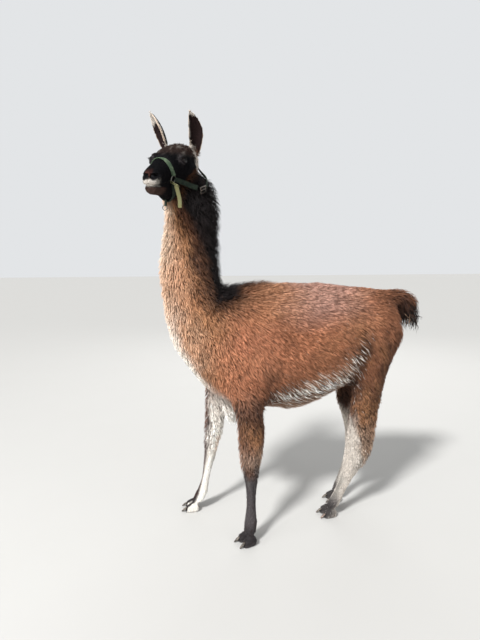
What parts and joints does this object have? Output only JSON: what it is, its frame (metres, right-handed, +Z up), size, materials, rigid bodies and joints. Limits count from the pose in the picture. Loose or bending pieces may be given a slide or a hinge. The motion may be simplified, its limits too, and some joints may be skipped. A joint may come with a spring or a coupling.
{
  "type": "llama",
  "caption": "Standing adult llama in a webbing halter, head turned to its left, brown woolly coat with a dark head, pale chest and legs, dark feet with separate toenails.",
  "frame": {"origin": "centre of the bounding box at floor level", "axes": "+Z up, the animal faces -Y with its head turned towards +X, and +X is its left side"},
  "size_m": [0.4594, 1.2722, 1.783],
  "materials": {
    "body_wool": "matte",
    "neck_wool": "matte",
    "dark_coat": "matte",
    "leg_coat": "matte",
    "eye": "gloss",
    "nail_horn": "satin",
    "webbing": "matte",
    "steel": "satin"
  },
  "bodies": {
    "root": {"trunk": "body_wool", "neck": "neck_wool", "head": "dark_coat", "ear_left": "dark_coat", "ear_right": "dark_coat", "eye_left": "eye", "eye_right": "eye", "tail": "dark_coat", "foreleg_left": "leg_coat", "foreleg_right": "leg_coat", "hindleg_left": "leg_coat", "hindleg_right": "leg_coat", "forefoot_left": "dark_coat", "forefoot_right": "dark_coat", "hindfoot_left": "dark_coat", "hindfoot_right": "dark_coat", "nail_forefoot_left_outer": "nail_horn", "nail_forefoot_left_inner": "nail_horn", "nail_forefoot_right_outer": "nail_horn", "nail_forefoot_right_inner": "nail_horn", "nail_hindfoot_left_outer": "nail_horn", "nail_hindfoot_left_inner": "nail_horn", "nail_hindfoot_right_outer": "nail_horn", "nail_hindfoot_right_inner": "nail_horn", "halter_nose_strap": "webbing", "halter_chin_strap": "webbing", "halter_cheek_strap_left": "webbing", "halter_cheek_strap_right": "webbing", "halter_crown_strap": "webbing", "halter_strap_end": "webbing", "halter_ring_left": "steel", "halter_ring_right": "steel", "halter_lead_ring": "steel", "halter_buckle": "steel"}
  },
  "joints": []
}
